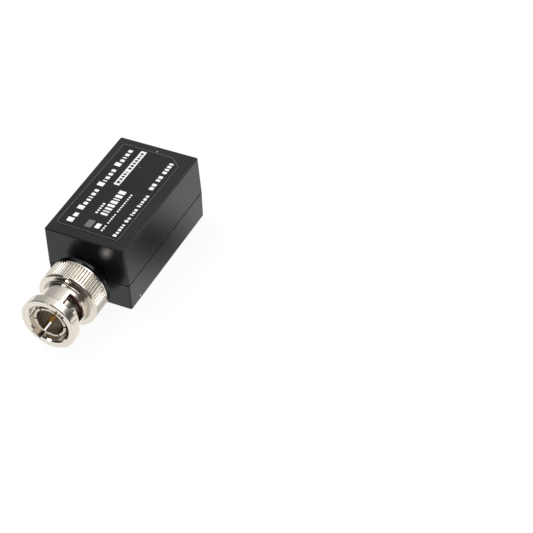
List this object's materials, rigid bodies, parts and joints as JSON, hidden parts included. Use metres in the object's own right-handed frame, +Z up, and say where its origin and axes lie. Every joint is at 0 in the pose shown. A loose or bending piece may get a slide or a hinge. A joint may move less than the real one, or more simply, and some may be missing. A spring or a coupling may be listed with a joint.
{
  "type": "cctv video balun",
  "caption": "Small black two-part video balun housing with a nickel bayonet plug on its front and a push-in terminal block in its back.",
  "frame": {"origin": "middle of the housing's flat underside", "axes": "+Z up through the lid, -Y along the plug towards its mouth, +X to the right as seen from the plug's end"},
  "size_m": [0.0208, 0.0541, 0.0176],
  "materials": {
    "housing_plastic": "satin, fine texture",
    "label_film": "satin film with pale grey print",
    "screw_steel": "black zinc",
    "bushing_plastic": "semi-gloss",
    "nickel_plate": "bright nickel",
    "dielectric": "smooth",
    "gold_plate": "polished gold plate",
    "gasket_rubber": "matte",
    "spring_steel": "bright",
    "board_laminate": "solder mask",
    "terminal_plastic": "smooth",
    "button_plastic": "smooth",
    "tinned_copper": "tin plate",
    "chip_epoxy": "fine matt",
    "ferrite": "matt",
    "can_aluminium": "satin",
    "ceramic": "smooth"
  },
  "bodies": {
    "housing": {"upper_cover": "housing_plastic", "lower_base": "housing_plastic", "label_plate": "label_film", "base_screws": "screw_steel", "insulating_bushing": "bushing_plastic", "plug_nut": "nickel_plate", "plug_body": "nickel_plate", "outer_contact": "nickel_plate", "insulator": "dielectric", "centre_pin": "gold_plate", "gasket": "gasket_rubber", "wave_spring": "spring_steel", "circuit_board": "board_laminate", "terminal_block": "terminal_plastic", "amplifier_chip": "chip_epoxy", "common_mode_choke": "ferrite", "filter_capacitors": "can_aluminium", "surge_suppressors": "chip_epoxy", "voltage_regulator": "chip_epoxy", "chip_resistors": "chip_epoxy", "chip_capacitors": "ceramic", "clamp_spring_1": "spring_steel", "terminal_pin_1": "tinned_copper", "clamp_spring_2": "spring_steel", "terminal_pin_2": "tinned_copper", "clamp_spring_3": "spring_steel", "terminal_pin_3": "tinned_copper", "clamp_spring_4": "spring_steel", "terminal_pin_4": "tinned_copper"},
    "slip_washer": {"slip_washer": "spring_steel"},
    "coupling": {"coupling_sleeve": "nickel_plate", "retaining_ring": "nickel_plate"},
    "button_1": {"terminal_button_1": "button_plastic"},
    "button_2": {"terminal_button_2": "button_plastic"},
    "button_3": {"terminal_button_3": "button_plastic"},
    "button_4": {"terminal_button_4": "button_plastic"}
  },
  "joints": [
    {"name": "sleeve_pull", "type": "slide", "parent": "housing", "child": "slip_washer", "axis": [0, -1, 0], "range_m": [0, 0.0008], "stiffness_N_per_m": 8000, "deforming": ["wave_spring"]},
    {"name": "sleeve_turn", "type": "hinge", "parent": "slip_washer", "child": "coupling", "pos_m": [0, -0.02475, 0.0075], "axis": [0, -1, 0], "continuous": true},
    {"name": "button_1_press", "type": "slide", "parent": "housing", "child": "button_1", "axis": [0, -1, 0], "range_m": [0, 0.0011], "stiffness_N_per_m": 3000},
    {"name": "button_2_press", "type": "slide", "parent": "housing", "child": "button_2", "axis": [0, -1, 0], "range_m": [0, 0.0011], "stiffness_N_per_m": 3000},
    {"name": "button_3_press", "type": "slide", "parent": "housing", "child": "button_3", "axis": [0, -1, 0], "range_m": [0, 0.0011], "stiffness_N_per_m": 3000},
    {"name": "button_4_press", "type": "slide", "parent": "housing", "child": "button_4", "axis": [0, -1, 0], "range_m": [0, 0.0011], "stiffness_N_per_m": 3000}
  ]
}
